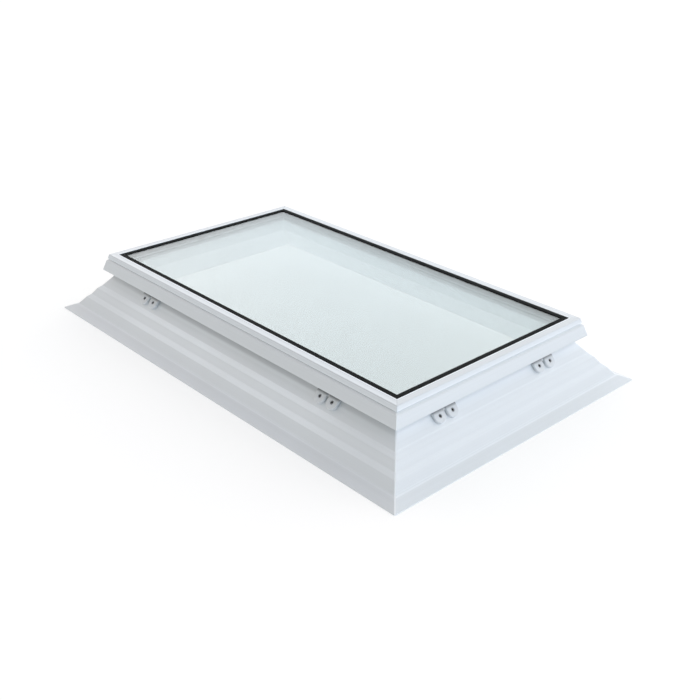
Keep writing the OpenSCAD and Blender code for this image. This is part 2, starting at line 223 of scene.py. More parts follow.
def extrusion_tree():
    """Runs a section along one side of the window, from mitre to mitre, and rounds the corners.
    Each point keeps its place along the side, its u and its height in the attribute run, and
    the attribute weld is 1 on the rounded corners."""
    tree, given, made = new_group(
        "Mitred extrusion",
        "GeometryNodeTree",
        {
            "Section": "Geometry", "Half length": "Float", "Side offset": "Float",
            "Corner radius": "Float", "Corner rings": "Int", "Quarter turns": "Int",
            "Finish": "Material",
        },
        {"Extrusion": "Geometry"},
    )
    marked = hold(tree, given["Section"], "run", point_place(tree))
    drawn = split(tree, point_place(tree))
    flat = moved(tree, marked, vector(tree, drawn["Y"], drawn["Z"]))
    outline = add(tree, "GeometryNodeMeshToCurve", {"Mesh": flat}).outputs[0]

    # One ring of points for each whole number along X
    last = calc(tree, "MULTIPLY_ADD", given["Corner rings"], 2.0, 1.0)
    line = add(tree, "GeometryNodeCurvePrimitiveLine", {"End": vector(tree, last)})
    path = add(
        tree,
        "GeometryNodeResampleCurve",
        {"Curve": line.outputs[0], "Count": calc(tree, "ADD", last, 1.0)},
    )
    walls = add(
        tree, "GeometryNodeCurveToMesh", {"Curve": path.outputs[0], "Profile Curve": outline}
    ).outputs[0]

    # Ring 0 lies in the mitre, ring 1 close beside it, and the last ring where the corner ends
    index = split(tree, point_place(tree))["X"]
    ring = calc(tree, "MINIMUM", index, calc(tree, "SUBTRACT", last, index))
    end = calc(tree, "SIGN", calc(tree, "SUBTRACT", index, calc(tree, "MULTIPLY", last, 0.5)))
    steps = calc(tree, "SUBTRACT", given["Corner rings"], 1.0)
    share = calc(tree, "DIVIDE", calc(tree, "SUBTRACT", ring, 1.0), steps)
    left = calc(tree, "SUBTRACT", 1.0, share)
    turned = calc(tree, "MULTIPLY", left, math.radians(beside_weld))
    to_mitre = calc(tree, "SUBTRACT", math.radians(45), turned)
    angle = calc(tree, "MULTIPLY_ADD", calc(tree, "LESS_THAN", ring, 0.5), to_mitre, turned)
    section = split(tree, held(tree, "run"))
    radius = given["Corner radius"]
    core = calc(tree, "SUBTRACT", section["Y"], radius)
    core_length = calc(tree, "ADD", given["Half length"], core)
    reach = calc(tree, "MULTIPLY_ADD", radius, calc(tree, "SINE", angle), core_length)
    core_offset = calc(tree, "ADD", given["Side offset"], core)
    out = calc(tree, "MULTIPLY_ADD", radius, calc(tree, "COSINE", angle), core_offset)
    in_corner = calc(tree, "LESS_THAN", ring, calc(tree, "SUBTRACT", steps, 0.5))
    rings = hold(tree, walls, "weld", in_corner, "FLOAT")
    along = calc(tree, "MULTIPLY", end, reach)
    shaped = moved(tree, rings, vector(tree, along, out, section["Z"]))
    place_x = split(tree, point_place(tree))["X"]
    kept = hold(tree, shaped, "run", vector(tree, place_x, section["Y"], section["Z"]))
    turn = calc(tree, "MULTIPLY", given["Quarter turns"], math.pi / 2)
    in_place = add(
        tree, "GeometryNodeTransform", {"Geometry": kept, "Rotation": vector(tree, z=turn)}
    ).outputs[0]
    return end_tree(tree, in_place, given, made)


def new_piece(name, content):
    """An object in the scene that holds a mesh, a light or a camera."""
    piece = bpy.data.objects.new(name, content)
    bpy.context.scene.collection.objects.link(piece)
    return piece


def take_shape(piece):
    """Makes what the modifiers show of a piece its own plain mesh."""
    shaped = piece.evaluated_get(bpy.context.evaluated_depsgraph_get())
    made = bpy.data.meshes.new_from_object(shaped)
    piece.modifiers.clear()
    piece.data = made


def run_tree(name, mesh, tree, values):
    """The mesh as the tree shapes it, in a plain object of that name."""
    piece = new_piece(name, mesh)
    modifier = piece.modifiers.new(tree.name, "NODES")
    modifier.node_group = tree
    for item in tree.interface.items_tree:
        if item.in_out == "INPUT" and item.name in values:
            modifier[item.identifier] = values[item.name]
    take_shape(piece)
    piece.data.name = name
    return piece


def on_mitre(point):
    """True for a point in one of the four planes in which the corners are sawn."""
    return abs((abs(point.x) - half_l) - (abs(point.y) - half_w)) < 10 * same_point


def weld_ends(piece, groove):
    """Closes the sawn ends, turns the faces outward and sinks the weld line by the groove."""
    solid = joined_up(piece.data)
    open_edges = [e for e in solid.edges if e.is_boundary]
    for sign_x in (-1, 1):
        for sign_y in (-1, 1):
            rim = [
                e for e in open_edges
                if e.verts[0].co.x * sign_x > 0 and e.verts[0].co.y * sign_y > 0
            ]
            if rim:
                across = Vector((sign_x, -sign_y, 0)).normalized()
                bmesh.ops.triangle_fill(solid, use_beauty=True, edges=rim, normal=across)
    bmesh.ops.recalc_face_normals(solid, faces=solid.faces)
    solid.normal_update()
    moves = []
    for v in solid.verts:
        if on_mitre(v.co):
            sawn = Vector((math.copysign(1, v.co.x), -math.copysign(1, v.co.y), 0)).normalized()
            outward = v.normal - v.normal.dot(sawn) * sawn
            moves.append((v, outward.normalized() * groove))
    for v, move in moves:
        v.co -= move
    solid.to_mesh(piece.data)
    solid.free()


def smooth_edges(piece, crease=34):
    """Shades the small roundings smooth while the flats between them stay flat."""
    piece.data.shade_smooth()
    piece.data.set_sharp_from_angle(angle=math.radians(crease))
    modifier = piece.modifiers.new("Flat faces stay flat", "WEIGHTED_NORMAL")
    modifier.keep_sharp = True
    modifier.weight = 90
    take_shape(piece)


def extrude_side(name, section, side, corner, groove, finish, rings=5):
    """One side of a mitred frame, from its section."""
    turns = SIDES[side]
    lengthwise = turns % 2 == 0
    piece = run_tree(
        name,
        section.copy(),
        mitred_extrusion,
        {
            "Half length": half_l if lengthwise else half_w,
            "Side offset": half_w if lengthwise else half_l,
            "Corner radius": corner,
            "Corner rings": rings,
            "Quarter turns": turns,
            "Finish": finish,
        },
    )
    weld_ends(piece, groove)
    smooth_edges(piece)
    return piece


def four_sides(prefix, section, corner, groove, finishes):
    """Each side with its piece. The finishes are those of the long and of the short sides."""
    for side, turns in SIDES.items():
        finish = finishes[turns % 2]
        yield side, extrude_side(prefix + side, section, side, corner, groove, finish)


def noise(tree, place, scale, detail, roughness=0.5, distortion=0.0):
    """Smooth random values round a half."""
    sockets = {"Vector": place, "Scale": scale, "Detail": detail}
    sockets |= {"Roughness": roughness, "Distortion": distortion}
    return add(tree, "ShaderNodeTexNoise", sockets).outputs[0]


def map_range(tree, value, start=(0.0, 1.0), to=(0.0, 1.0), smooth=False):
    """Carries a value over from one range to another."""
    sockets = {"Value": value, "From Min": start[0], "From Max": start[1]}
    sockets |= {"To Min": to[0], "To Max": to[1]}
    form = "SMOOTHSTEP" if smooth else "LINEAR"
    return add(tree, "ShaderNodeMapRange", sockets, interpolation_type=form).outputs[0]


def draw_lines_group():
    """Fine lines that an extrusion die leaves along a profile, and streaks of tone."""
    group, given, made = new_group(
        "Die lines",
        "ShaderNodeTree",
        {"Run": "Vector", "Lines per metre": "Float", "Wander": "Float"},
        {"Height": "Float", "Streak": "Float"},
    )
    lines = given["Lines per metre"]
    fine = vector_calc(group, "MULTIPLY", given["Run"], vector(group, given["Wander"], lines, lines))
    scratches = noise(group, fine, scale=1.0, detail=3.0, roughness=0.6)
    bands = noise(group, fine, scale=0.055, detail=4.0, roughness=0.65)
    group.links.new(scratches, made["Height"])
    group.links.new(map_range(group, bands, (0.3, 0.7)), made["Streak"])
    return group


def cloud_group():
    """Slow mottling of tone and gloss: high and low patches between 0 and 1."""
    group, given, made = new_group(
        "Mottling",
        "ShaderNodeTree",
        {"Vector": "Vector", "Patches per metre": "Float", "Contrast": "Float"},
        {"Patch": "Float"},
    )
    per_metre = given["Patches per metre"]
    cloud = noise(
        group, given["Vector"], scale=per_metre, detail=4.0, roughness=0.55, distortion=0.4
    )
    centred = calc(group, "SUBTRACT", cloud, 0.5)
    spread = calc(group, "MULTIPLY_ADD", centred, given["Contrast"], 0.5)
    clamped = add(group, "ShaderNodeClamp", {"Value": spread})
    group.links.new(clamped.outputs[0], made["Patch"])
    return group


def dust_group():
    """Thin dust that has settled where a face looks up, in uneven patches."""
    group, given, made = new_group(
        "Settled dust",
        "ShaderNodeTree",
        {"Vector": "Vector", "Amount": "Float"},
        {"Dust": "Float"},
    )
    normal = add(group, "ShaderNodeNewGeometry").outputs["True Normal"]
    lying = map_range(group, split(group, normal)["Z"], (0.2, 1.0), smooth=True)
    specks = noise(group, given["Vector"], scale=260.0, detail=5.0, roughness=0.7)
    patches = noise(group, given["Vector"], scale=7.0, detail=3.0)
    film = map_range(group, calc(group, "MULTIPLY", specks, patches), (0.18, 0.42), smooth=True)
    covered = calc(group, "MULTIPLY", film, lying)
    group.links.new(calc(group, "MULTIPLY", covered, given["Amount"]), made["Dust"])
    return group


def use_group(tree, group, inputs):
    """The outputs of a shader node group placed in a material."""
    return add(tree, "ShaderNodeGroup", inputs, node_tree=group).outputs


def mottled(tree, place, per_metre, contrast):
    """Patches between 0 and 1, so many to the metre."""
    sockets = {"Vector": place, "Patches per metre": per_metre, "Contrast": contrast}
    return use_group(tree, mottling, sockets)["Patch"]


def dust_on(tree, place, amount):
    """How much dust covers each place."""
    return use_group(tree, settled_dust, {"Vector": place, "Amount": amount})["Dust"]


def attribute(tree, name):
    """What a material reads under a name from the mesh."""
    return add(tree, "ShaderNodeAttribute", attribute_name=name).outputs


def scaled(colour, factor):
    """A lighter or darker colour."""
    return tuple(factor * c for c in colour)


def blend_colour(tree, share, first, second):
    """A colour between two others, each a socket or three numbers."""
    mixed = add(tree, "ShaderNodeMix", data_type="RGBA")
    sockets = {socket.identifier: socket for socket in mixed.inputs}
    for key, value in (("Factor_Float", share), ("A_Color", first), ("B_Color", second)):
        if isinstance(value, bpy.types.NodeSocket):
            tree.links.new(value, sockets[key])
        else:
            sockets[key].default_value = (*value, 1)
    return next(socket for socket in mixed.outputs if socket.identifier == "Result_Color")


def new_material(name, values=None):
    """A material with a Principled shader, its values set by input: the material, its node tree,
    the shader and the places on the piece."""
    material = bpy.data.materials.new(name)
    material.use_nodes = True
    tree = material.node_tree
    tree.nodes.clear()
    shader = add(tree, "ShaderNodeBsdfPrincipled", values)
    add(tree, "ShaderNodeOutputMaterial", {"Surface": shader.outputs[0]})
    return material, tree, shader, add(tree, "ShaderNodeTexCoord").outputs["Object"]


def paint(tree, shader, colour, roughness):
    """Feeds the colour and the roughness of a shader."""
    tree.links.new(colour, shader.inputs["Base Color"])
    tree.links.new(roughness, shader.inputs["Roughness"])


def emboss(tree, shader, height, strength, distance, **settings):
    """Gives a shader a relief."""
    sockets = {"Strength": strength, "Distance": distance, "Height": height}
    relief = add(tree, "ShaderNodeBump", sockets, **settings)
    tree.links.new(relief.outputs[0], shader.inputs["Normal"])


def tone_along(tree, place, tones):
    """A factor that follows a place on the section, between the pairs of place and factor."""
    low = tones[0][0]
    high = tones[-1][0]
    ramp = add(tree, "ShaderNodeValToRGB", {"Fac": map_range(tree, place, (low, high))})
    stops = ramp.color_ramp.elements
    while len(stops) < len(tones):
        stops.new(0.5)
    for stop, (level, factor) in zip(stops, tones):
        stop.position = (level - low) / (high - low)
        stop.color = (factor, factor, factor, 1)
    return ramp.outputs["Color"]


def outer_skin(tree, section):
    """1 on the outer skin of the upstand and 0 on the faces round the opening."""
    past_neck = calc(tree, "SUBTRACT", section["Y"], neck_middle)
    across = calc(tree, "MULTIPLY_ADD", section["Z"], slope_ratio, section["Y"])
    past_slope = calc(tree, "SUBTRACT", across, slope_middle)
    return calc(tree, "GREATER_THAN", calc(tree, "MINIMUM", past_neck, past_slope), 0.0)


def faded_ends(tree, section, tone, half_length):
    """The painted light and shade of a long piece, half as strong and a little darker towards both
    welds.
    """
    from_middle = calc(tree, "ABSOLUTE", section["X"])
    to_weld = calc(tree, "SUBTRACT", calc(tree, "ADD", section["Y"], half_length), from_middle)
    fade = map_range(tree, to_weld, (toned_from, plain_end), smooth=True)
    plain = vector_calc(tree, "MULTIPLY_ADD", tone, (end_strength,) * 3, (end_tone,) * 3)
    return blend_colour(tree, fade, tone, plain)


def extruded_pvc(
    name, white, weld_highlight_colour, tones, roughness, lines, dust_amount, inner_tones=None, half_length=None
):
    """White extruded PVC: die lines along the profile, faint mottling, buffed welds and dust. The
    weld colour, where it is lighter than the face, paints a highlight along the corners. The tones
    are painted light and shade: they follow the outer faces, and the inner tones, if any, those
    round the opening. With a half length, they fade towards the welds."""
    material, tree, shader, place = new_material(name, {"IOR": 1.53})
    run = attribute(tree, "run")["Vector"]
    weld = attribute(tree, "weld")["Fac"]
    die = use_group(tree, die_lines, {"Run": run, "Lines per metre": lines, "Wander": 0.35})
    patch = mottled(tree, place, per_metre=5.0, contrast=1.6)
    dust = dust_on(tree, place, dust_amount)
    shade = calc(tree, "MULTIPLY_ADD", die["Streak"], 0.7, calc(tree, "MULTIPLY", patch, 0.3))
    toned = blend_colour(tree, shade, scaled(white, 1.03), scaled(white, 0.955))
    section = split(tree, run)
    tone = tone_along(tree, calc(tree, "SUBTRACT", section["Y"], section["Z"]), tones)
    if half_length:
        tone = faded_ends(tree, section, tone, half_length)
    if inner_tones:
        inner = tone_along(tree, section["Z"], inner_tones)
        tone = blend_colour(tree, outer_skin(tree, section), inner, tone)
    # The tones paint light and shade onto the plastic
    lit_and_shaded = vector_calc(tree, "MULTIPLY", toned, tone)
    # A weld colour lighter than the face paints a highlight along the corners
    welded = blend_colour(tree, weld, lit_and_shaded, weld_highlight_colour)
    rough = map_range(tree, patch, to=(roughness - 0.04, roughness + 0.08))
    buffed = calc(tree, "MULTIPLY_ADD", weld, -0.08, rough)
    dusty = blend_colour(tree, dust, welded, dust_grey)
    paint(tree, shader, dusty, calc(tree, "MULTIPLY_ADD", dust, 0.35, buffed))
    emboss(tree, shader, die["Height"], strength=0.25, distance=0.00012)
    return material


mitred_extrusion = extrusion_tree()
die_lines = draw_lines_group()
mottling = cloud_group()
settled_dust = dust_group()
# Two copies of the upstand's PVC, for the long and the short sides, that differ in their painted
# light and shade
upstand_pvc = [
    extruded_pvc(
        name,
        upstand_white,
        buffed_weld_highlight_white,
        tones,
        roughness=0.36,
        lines=900.0,
        dust_amount=0.1,
        inner_tones=opening_light_and_shade,
        half_length=half_length,
    )
    for name, tones, half_length in zip(
        ("upstand_pvc_long", "upstand_pvc_short"), upstand_light_and_shade, (half_l, None)
    )
]
upstand_section = section_of("upstand_back")
for side, piece in four_sides(
    "welded_upstand_", upstand_section, upstand_corner, weld_groove, upstand_pvc
):
    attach(piece, "root")
    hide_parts("upstand_" + side)

# --- Seal under the frame ---
# A dark closed-cell foam strip stuck to the top of the neck, pressed flat by the frame. A strip
# of the same foam in light grey beds the glass on the ledge of the frame.

foam_grey = (0.09, 0.09, 0.095)
tape_grey = (0.50, 0.51, 0.52)


def cell_foam(name, grey):
    """Closed-cell foam: a skin of small round cells, with painted shade in the pits."""
    material, tree, shader, place = new_material(name)
    cells = add(
        tree,
        "ShaderNodeTexVoronoi",
        {"Vector": place, "Scale": 1400.0, "Randomness": 1.0},
        feature="SMOOTH_F1",
    ).outputs["Distance"]
    patch = mottled(tree, place, per_metre=40.0, contrast=1.5)
    skin = blend_colour(tree, patch, grey, scaled(grey, 1.5))
    # Painted shade in the pits of the cells
    pits = blend_colour(tree, cells, skin, scaled(grey, 0.5))
    paint(tree, shader, pits, map_range(tree, patch, to=(0.8, 0.95)))
    emboss(tree, shader, cells, strength=0.6, distance=0.0003, invert=True)
    return material


def finish_node(node, material):
    """Gives a CAD piece that keeps its own shape a finish."""
    for slot in cad[node].material_slots:
        slot.material = material


finish_node("upstand_seal", cell_foam("closed_cell_foam", foam_grey))
finish_node("glazing_tape", cell_foam("light_closed_cell_foam", tape_grey))

# --- Glazing frame ---
# A hollow white PVC profile, welded at the corners like the upstand. Its ledge carries the glass
# and its slanting skirt throws the rain clear of the upstand.

frame_corner = 0.002
frame_white = (0.695, 0.727, 0.747)
# How bright each part of the frame's section is, on the long and on the short sides, as pairs of a
# place (u less height) and a factor: painted light and shade
frame_light_and_shade = (
    (
        (-0.1750, 1.26), (-0.1600, 1.26), (-0.1513, 1.08), (-0.1470, 1.00), (-0.1405, 1.03),
        (-0.1380, 0.96), (-0.1070, 0.96), (-0.0970, 1.00),
    ),
    (
        (-0.1750, 1.35), (-0.1513, 1.20), (-0.1465, 1.05), (-0.1400, 1.02), (-0.1060, 1.02),
        (-0.0995, 0.99), (-0.0970, 0.96),
    ),
)

# Two copies of the frame's PVC, for the long and the short sides, that differ in their painted light
# and shade
frame_pvc = [
    extruded_pvc(
        name, frame_white, buffed_weld_highlight_white, tones, roughness=0.3, lines=1200.0, dust_amount=0.1
    )
    for name, tones in zip(("frame_pvc_long", "frame_pvc_short"), frame_light_and_shade)
]
for side, piece in four_sides(
    "welded_frame_", section_of("frame_back"), frame_corner, weld_groove, frame_pvc
):
    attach(piece, "root")
    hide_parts("frame_" + side)

# --- Setting blocks ---
# Moulded polypropylene blocks in the gap round the glass. They keep it centred in the frame.

block_grey = (0.05, 0.055, 0.06)


def moulded_plastic(name, colour, roughness, grain, painted_shade=None):
    """Injection-moulded plastic: a spark-eroded grain, faint flow mottling and a little dust.
    Painted shade, if any, is given as two ranges of height: it darkens what lies above the first, as
    shade under the skirt, and the points marked foot above the second, as shade on the flanks. It
    also darkens the points marked recess, as shade in the recesses."""
    material, tree, shader, place = new_material(name)
    patch = mottled(tree, place, per_metre=60.0, contrast=1.4)
    toned = blend_colour(tree, patch, colour, scaled(colour, 0.96))
    dust_and_shade = blend_colour(tree, dust_on(tree, place, 0.2), toned, dust_grey)
    if painted_shade:
        height = split(tree, place)["Z"]
        # Painted shade under the skirt, darker with height
        skirt_shade = map_range(tree, height, painted_shade[0], smooth=True)
        dust_and_shade = blend_colour(tree, skirt_shade, dust_and_shade, scaled(colour, 0.35))
        # Painted shade on the flanks near the wall
        foot = add(tree, "ShaderNodeClamp", {0: attribute(tree, "foot")["Fac"]}).outputs[0]
        lying = calc(tree, "MULTIPLY", foot, map_range(tree, height, painted_shade[1], to=(0.0, 0.75)))
        dust_and_shade = blend_colour(tree, lying, dust_and_shade, scaled(colour, 0.45))
        # Painted shade in the recesses of the lobes
        recess = attribute(tree, "recess")["Fac"]
        dust_and_shade = blend_colour(tree, recess, dust_and_shade, scaled(colour, 0.1))
    paint(tree, shader, dust_and_shade, map_range(tree, patch, to=(roughness, roughness + 0.12)))
    sparks = noise(tree, place, scale=2600.0, detail=2.0)
    emboss(tree, shader, sparks, strength=grain, distance=0.0001)
    return material


blocks_finish = moulded_plastic("block_polypropylene", block_grey, roughness=0.45, grain=0.3)
finish_node("setting_blocks", blocks_finish)

# --- Sealed glass unit ---
# Two panes of float glass, held apart by a perforated aluminium spacer bar and sealed round the
# edge with black sealant. Each pane's edges are ground to a narrow arris.

arris = 0.0008
outer_tint = (0.828, 0.862, 0.860)
inner_tint = (0.828, 0.862, 0.857)


def ground_pane(name, node, material):
    """A pane that fills the box of its CAD piece, with ground edges."""
    low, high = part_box(node)
    filled = Matrix.Translation((low + high) / 2) @ Matrix.Diagonal((*(high - low), 1))
    pane = bmesh.new()
    bmesh.ops.create_cube(pane, size=1, matrix=filled)
    bmesh.ops.bevel(pane, geom=pane.edges[:], offset=arris, segments=1, affect="EDGES")
    bmesh.ops.recalc_face_normals(pane, faces=pane.faces)
    mesh = mesh_of(pane, name)
    mesh.materials.append(material)
    return new_piece(name, mesh)


def float_glass(name, tint):
    """Clear float glass with a faint roller wave, wiped almost clean. Lamps shine through it."""
    material, tree, shader, place = new_material(name, {"Transmission Weight": 1.0, "IOR": 1.5})
    patch = mottled(tree, place, per_metre=3.0, contrast=2.2)
    wiped = blend_colour(tree, patch, tint, scaled(tint, 0.985))
    paint(tree, shader, wiped, map_range(tree, patch, to=(0.0, 0.002)))
    wave = noise(tree, place, scale=4.0, detail=1.0, roughness=0.3)
    emboss(tree, shader, wave, strength=0.15, distance=0.0006)
    clear = add(tree, "ShaderNodeBsdfTransparent", {"Color": (*tint, 1)})
    lamp = add(tree, "ShaderNodeLightPath").outputs["Is Shadow Ray"]
    through = add(
        tree, "ShaderNodeMixShader", {0: lamp, 1: shader.outputs[0], 2: clear.outputs[0]}
    )
    output = next(n for n in tree.nodes if n.type == "OUTPUT_MATERIAL")
    tree.links.new(through.outputs[0], output.inputs["Surface"])
    return material


for node, tint, slot in (
    ("inner_pane", inner_tint, "inner_glass"),
    ("outer_pane", outer_tint, "outer_glass"),
):
    piece = ground_pane("ground_" + node, node, float_glass("glass_of_" + node, tint))
    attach(piece, "root")
    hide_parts(node)

# The spacer bar: four mitred lengths of folded aluminium
spacer_corner = 0.0005
aluminium = (0.31, 0.325, 0.325)
# Butyl that sticks the bar to the panes, and the black border fired into the outer pane over it.
# Both run a hair into the glass.
butyl_t = 0.0004
border_w = 0.001
border_t = 0.0002
fused = 0.00005


def drawn_metal(name, colour, roughness, lines):
    """Bare metal with fine lines along its length and patches of duller oxide."""
    material, tree, shader, place = new_material(name, {"Metallic": 1.0})
    run = attribute(tree, "run")["Vector"]
    die = use_group(tree, die_lines, {"Run": run, "Lines per metre": lines, "Wander": 2.0})
    patch = mottled(tree, place, per_metre=30.0, contrast=1.8)
    toned = blend_colour(tree, patch, colour, scaled(colour, 0.85))
    rough = map_range(tree, die["Height"], to=(roughness - 0.1, roughness + 0.1))
    paint(tree, shader, toned, rough)
    emboss(tree, shader, die["Height"], strength=0.3, distance=0.0001)
    return material


spacer_metal = drawn_metal("spacer_aluminium", aluminium, roughness=0.42, lines=3000.0)
bar_low, bar_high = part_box("spacer")
bar_section = section_of("spacer")
for point in bar_section.vertices:
    point.co.z = min(max(point.co.z, bar_low.z + butyl_t), bar_high.z - butyl_t)


def all_round(name, section, corner, groove, finish, rings=5):
    """One object that runs a section along all four sides."""
    whole = bmesh.new()
    for side in SIDES:
        part = extrude_side(name + side, section, side, corner, groove, finish, rings)
        whole.from_mesh(part.data)
        bpy.data.objects.remove(part)
    mesh = mesh_of(whole, name)
    mesh.materials.append(finish)
    return new_piece(name, mesh)


spacer_bar = all_round("spacer_bar", bar_section, spacer_corner, 0.0, spacer_metal, rings=3)
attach(spacer_bar, "root")
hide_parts("spacer")

# The breather holes of the spacer bar: two staggered rows in the face towards the cavity, drawn as
# dark discs of painted shade
hole_pitch = 0.006
hole_radius = 0.0005
hole_rows = (0.35, 0.65)
hole_depth = 0.0002
hole_black = (0.02, 0.02, 0.02)


def set_on_points(tree, given, form, direction, made, spin=None):
    """Sets the form on each point, with its Z along the direction that the point holds."""
    rotation = add(
        tree, "FunctionNodeAlignRotationToVector", {"Vector": held(tree, direction)}, axis="Z"
    ).outputs[0]
    if spin:
        rotation = add(
            tree,
            "FunctionNodeRotateRotation",
            {"Rotation": rotation, "Rotate By": spin},
            rotation_space="LOCAL",
        ).outputs[0]
    copies = add(
        tree,
        "GeometryNodeInstanceOnPoints",
        {"Points": given["Points"], "Instance": form, "Rotation": rotation},
    )
    return end_tree(tree, copies.outputs[0], given, made)


def perforation_tree():
    """Sets small dark plugs along the rows of points that it is given, facing inward."""
    tree, given, made = new_group(
        "Perforation",
        "GeometryNodeTree",
        {"Points": "Geometry", "Radius": "Float", "Depth": "Float", "Finish": "Material"},
        {"Holes": "Geometry"},
    )
    disc = add(
        tree,
        "GeometryNodeMeshCylinder",
        {"Vertices": 8, "Radius": given["Radius"], "Depth": given["Depth"]},
    )
    return set_on_points(tree, given, disc.outputs[0], "facing", made)


def points_with_direction(name, places, directions, label):
    """A mesh of loose points that each hold a direction under a label."""
    mesh = bpy.data.meshes.new(name)
    mesh.from_pydata([tuple(p) for p in places], [], [])
    layer = mesh.attributes.new(label, "FLOAT_VECTOR", "POINT")
    for item, direction in zip(layer.data, directions):
        item.vector = direction
    return mesh


bar_in = min(v.co.y for v in bar_section.vertices)
bar_out = max(v.co.y for v in bar_section.vertices)
bar_width = bar_out - bar_in
inner_x = bar_high.x - bar_width
inner_y = bar_high.y - bar_width
hole_places = []
hole_facing = []
for row, level in enumerate(hole_rows):
    height = bar_low.z + level * (bar_high.z - bar_low.z)
    for reach, face, step, inward in (
        (inner_x, inner_y, Vector((1, 0, 0)), Vector((0, -1, 0))),
        (inner_y, inner_x, Vector((0, 1, 0)), Vector((-1, 0, 0))),
    ):
        count = int(2 * reach / hole_pitch) - 1
        for i in range(count):
            along = (i - (count - 1) / 2 + row / 2) * hole_pitch
            for sign in (-1, 1):
                hole_places.append(step * along - inward * face * sign + Vector((0, 0, height)))
                hole_facing.append(inward * sign)
hole_dark = moulded_plastic("hole_shadow", hole_black, roughness=0.8, grain=0.1)
holes = run_tree(
    "spacer_breather_holes",
    points_with_direction("hole_points", hole_places, hole_facing, "facing"),
    perforation_tree(),
    {"Radius": hole_radius, "Depth": hole_depth, "Finish": hole_dark},
)
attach(holes, "root")

# The edge sealant, tooled flush with the glass, and the butyl between the bar and the panes
sealant_black = (0.012, 0.012, 0.013)
butyl_black = (0.006, 0.007, 0.007)
bloom_grey = (0.3, 0.3, 0.3)


def rubber(name, black, roughness, bloom, shine=0.5):
    """Black rubber: fine texture, slight grey bloom in patches and dust on top."""
    material, tree, shader, place = new_material(name, {"Specular IOR Level": shine})
    patch = mottled(tree, place, per_metre=25.0, contrast=1.8)
    toned = blend_colour(tree, patch, black, scaled(black, 1.8))
    bloomed = blend_colour(tree, dust_on(tree, place, bloom), toned, bloom_grey)
    paint(tree, shader, bloomed, map_range(tree, patch, to=(roughness, roughness + 0.15)))
    grain = noise(tree, place, scale=1800.0, detail=3.0, roughness=0.6)
    emboss(tree, shader, grain, strength=0.35, distance=0.00015)
    return material


def loop_section(name, corners):
    """A section of one loop through the corners, each a distance outward and a height."""
    mesh = bpy.data.meshes.new(name)
    edges = [(i, (i + 1) % len(corners)) for i in range(len(corners))]
    mesh.from_pydata([(0, u, z) for u, z in corners], edges, [])
    return mesh


finish_node("edge_seal", rubber("edge_sealant", sealant_black, roughness=0.6, bloom=0.0))
butyl_finish = rubber("butyl", butyl_black, roughness=0.5, bloom=0.0)
lower_bead = bar_low.z + butyl_t
upper_bead = bar_high.z - butyl_t
in_inner_pane = bar_low.z - fused
in_outer_pane = bar_high.z + fused
border_foot = bar_high.z - border_t
border_in = bar_in - border_w
for name, outline in (
    (
        "border_and_butyl_of_outer_pane",
        (
            (border_in, border_foot), (bar_in, border_foot), (bar_in, upper_bead),
            (bar_out, upper_bead), (bar_out, in_outer_pane), (border_in, in_outer_pane),
        ),
    ),
    (
        "butyl_of_inner_pane",
        (
            (bar_in, in_inner_pane), (bar_out, in_inner_pane),
            (bar_out, lower_bead), (bar_in, lower_bead),
        ),
    ),
):
    bead = loop_section(name, outline)
    piece = all_round(name, bead, spacer_corner, 0.0, butyl_finish, rings=3)
    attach(piece, "root")

# --- Glazing gasket ---
# A wedge of extruded black EPDM rubber between the glass and the cap, mitred at the corners.

gasket_corner = 0.001
# The lip of the gasket runs this much further in over the glass than in the CAD section
gasket_lip = 0.007
gasket_joint = 0.0001
gasket_black = (0.006, 0.007, 0.007)

epdm = rubber("epdm_rubber", gasket_black, roughness=0.6, bloom=0.02, shine=0.05)
gasket_section = section_of("glazing_gasket")
for point in gasket_section.vertices:
    if point.co.y < 0:
        point.co.y -= gasket_lip
gasket = all_round("gasket", gasket_section, gasket_corner, gasket_joint, epdm)
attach(gasket, "root")
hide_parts("glazing_gasket")

# --- Caps ---
# Glossy white PVC cover strips that snap into the frame and hold the glass down. They are mitred
# and butted, with a fine open joint at each corner.

cap_corner = 0.002
cap_joint = 0.0003
# The inner lip, which is all that lies within this u, stands this far back, so that more of the
# gasket shows
lip_edge = 0.005
cap_lip = 0.0025
cap_white = (0.665, 0.70, 0.725)
# How bright each part of the cap's section is, on the long and on the short sides, as pairs of a
# place (u less height) and a factor: painted light and shade, with painted highlights brightest on
# the bead by the gasket
cap_light_and_shade = (
    (
        (-0.2000, 1.38), (-0.1925, 1.42), (-0.1900, 1.02), (-0.1840, 1.04), (-0.1800, 1.10),
        (-0.1755, 1.13), (-0.1728, 1.06), (-0.1714, 0.84), (-0.1690, 0.90), (-0.1670, 1.09),
        (-0.1620, 1.04), (-0.1570, 1.08), (-0.1525, 1.20),
    ),
    (
        (-0.2000, 1.36), (-0.1925, 1.40), (-0.1900, 1.05), (-0.1840, 1.03), (-0.1760, 1.01),
        (-0.1720, 0.98), (-0.1690, 1.00), (-0.1660, 1.10), (-0.1590, 1.13), (-0.1560, 1.18),
        (-0.1525, 1.28),
    ),
)

# Two copies of the cap's PVC, for the long and the short sides, that differ in their painted light
# and shade
cap_pvc = [
    extruded_pvc(
        name, cap_white, cap_white, tones, roughness=0.3, lines=1500.0, dust_amount=0.12
    )
    for name, tones in zip(("cap_pvc_long", "cap_pvc_short"), cap_light_and_shade)
]
cap_section = section_of("cap_back")
for point in cap_section.vertices:
    if point.co.y < lip_edge:
        point.co.y += cap_lip
for side, piece in four_sides("mitred_cap_", cap_section, cap_corner, cap_joint, cap_pvc):
    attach(piece, "root")
    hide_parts("cap_" + side)

# --- Clips ---
# Moulded nylon clips, two on each side. Each hooks the rail under the frame with two fingers and
# is screwed to the upstand through two round lobes.

clip_white = (0.70, 0.73, 0.75)
clip_crease = 32
